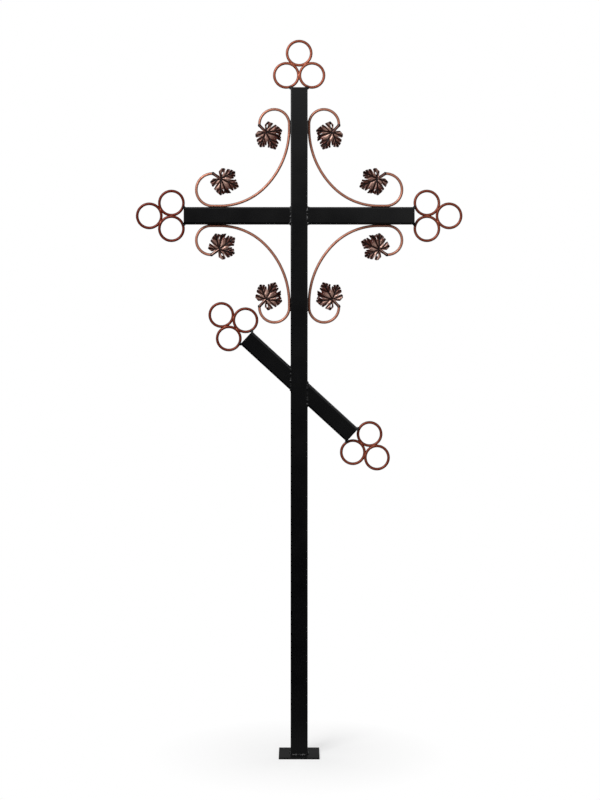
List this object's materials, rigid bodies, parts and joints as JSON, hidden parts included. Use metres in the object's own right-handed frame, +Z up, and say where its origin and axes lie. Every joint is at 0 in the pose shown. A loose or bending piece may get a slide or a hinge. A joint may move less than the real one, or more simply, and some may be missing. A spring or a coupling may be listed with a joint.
{
  "type": "wrought iron grave cross",
  "caption": "Tall Orthodox grave cross of black square steel tube with copper-toned ring trefoils, scrolls and vine leaves, on a base plate.",
  "frame": {"origin": "middle of the base plate's underside, where it is fixed to its footing", "axes": "+Z up along the post, +X towards the viewer's right along the arms, the front faces -Y"},
  "size_m": [0.767, 0.095, 1.6775],
  "materials": {
    "black_paint": "glossy black enamel",
    "copper_patina": "copper patina rubbed over black, satin",
    "leaf_patina": "black in the hollows and copper patina on the ridges, satin"
  },
  "bodies": {
    "root": {"base_plate": "black_paint", "post": "black_paint", "arm_left": "black_paint", "arm_right": "black_paint", "slant_upper": "black_paint", "slant_lower": "black_paint", "ring_top_left": "copper_patina", "ring_top_right": "copper_patina", "ring_top_outer": "copper_patina", "ring_left_upper": "copper_patina", "ring_left_lower": "copper_patina", "ring_left_outer": "copper_patina", "ring_right_upper": "copper_patina", "ring_right_lower": "copper_patina", "ring_right_outer": "copper_patina", "ring_slant_upper_right": "copper_patina", "ring_slant_upper_left": "copper_patina", "ring_slant_upper_outer": "copper_patina", "ring_slant_lower_right": "copper_patina", "ring_slant_lower_left": "copper_patina", "ring_slant_lower_outer": "copper_patina", "scroll_upper_left": "copper_patina", "scroll_upper_right": "copper_patina", "scroll_lower_left": "copper_patina", "scroll_lower_right": "copper_patina", "leaf_upper_left_post": "leaf_patina", "leaf_upper_left_arm": "leaf_patina", "leaf_upper_right_post": "leaf_patina", "leaf_upper_right_arm": "leaf_patina", "leaf_lower_left_post": "leaf_patina", "leaf_lower_left_arm": "leaf_patina", "leaf_lower_right_post": "leaf_patina", "leaf_lower_right_arm": "leaf_patina"}
  },
  "joints": []
}
